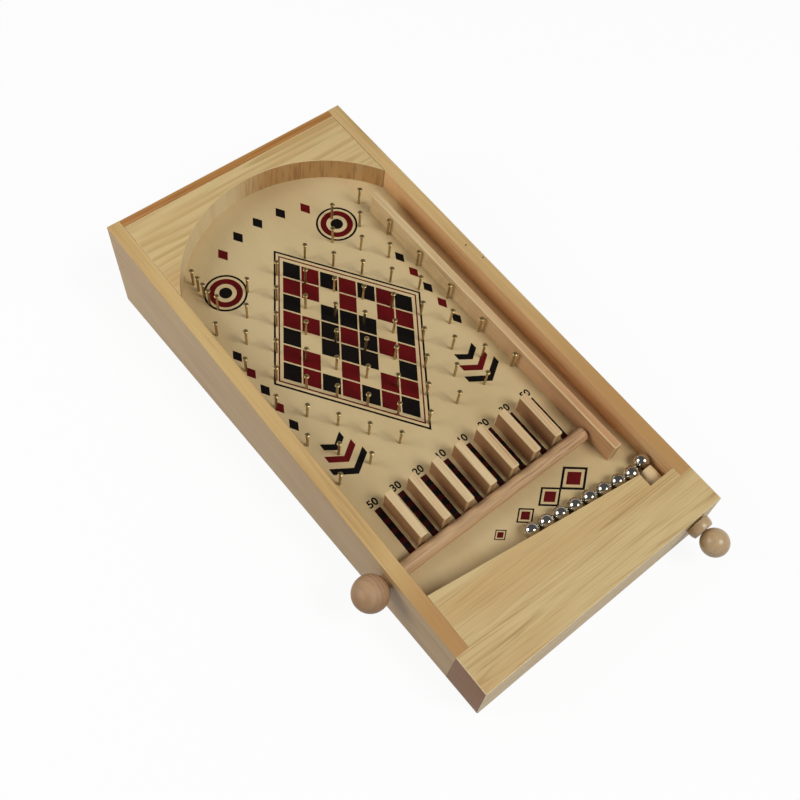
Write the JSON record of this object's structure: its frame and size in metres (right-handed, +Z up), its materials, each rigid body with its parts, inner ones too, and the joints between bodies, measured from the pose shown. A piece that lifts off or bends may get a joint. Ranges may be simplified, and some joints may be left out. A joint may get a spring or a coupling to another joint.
{
  "type": "bagatelle board game",
  "caption": "Wooden tabletop bagatelle: sloping nail-studded playfield with an arched end, sprung plunger in a launch lane, scoring slots with a sliding release bar, and steel balls.",
  "frame": {"origin": "middle of the footprint, knobs included, on the table that the board stands on", "axes": "+X to the player's right, +Y away from the player and up the slope, +Z up"},
  "size_m": [0.2804, 0.5352, 0.104],
  "materials": {
    "side_pine": "satin lacquer over pale pine",
    "end_pine": "satin lacquer over warm pine",
    "top_pine": "satin lacquer over pale pine",
    "field_panel": "satin lacquer over a printed birch panel",
    "divider_wood": "satin bare wood",
    "beech_knob": "satin turned beech",
    "brass_nail": "polished brass plate",
    "ball_steel": "polished steel",
    "spring_steel": "bright drawn steel"
  },
  "bodies": {
    "board": {"left_side": "side_pine", "right_side": "side_pine", "end_board": "end_pine", "front_block": "top_pine", "playfield": "field_panel", "arch_board": "top_pine", "lane_wall": "divider_wood", "divider_1": "divider_wood", "divider_2": "divider_wood", "divider_3": "divider_wood", "divider_4": "divider_wood", "divider_5": "divider_wood", "divider_6": "divider_wood", "divider_7": "divider_wood", "field_pins": "brass_nail", "guide_pins": "brass_nail"},
    "plunger": {"plunger_rod": "spring_steel", "plunger_striker": "divider_wood", "plunger_collar": "beech_knob", "plunger_knob": "beech_knob", "plunger_spring": "spring_steel"},
    "release": {"release_bar": "divider_wood", "release_knob": "beech_knob"},
    "launch_ball": {"ball_1": "ball_steel"},
    "ball_row": {"ball_2": "ball_steel", "ball_3": "ball_steel", "ball_4": "ball_steel", "ball_5": "ball_steel", "ball_6": "ball_steel", "ball_7": "ball_steel", "ball_8": "ball_steel", "ball_9": "ball_steel"}
  },
  "joints": [
    {"name": "plunger_pull", "type": "slide", "parent": "board", "child": "plunger", "axis": [0, -0.995, -0.0998], "range_m": [0, 0.022], "stiffness_N_per_m": 250, "springref_m": -0.006, "deforming": ["plunger_spring"]},
    {"name": "release_pull", "type": "slide", "parent": "board", "child": "release", "axis": [-1, 0, 0], "range_m": [0, 0.195]},
    {"name": "launch_roll", "type": "slide", "parent": "board", "child": "launch_ball", "axis": [0, 0.995, 0.0998], "range_m": [0, 0.33]},
    {"name": "row_roll", "type": "slide", "parent": "board", "child": "ball_row", "axis": [-0.9908, 0.1348, 0.0135], "range_m": [0, 0.095]}
  ]
}
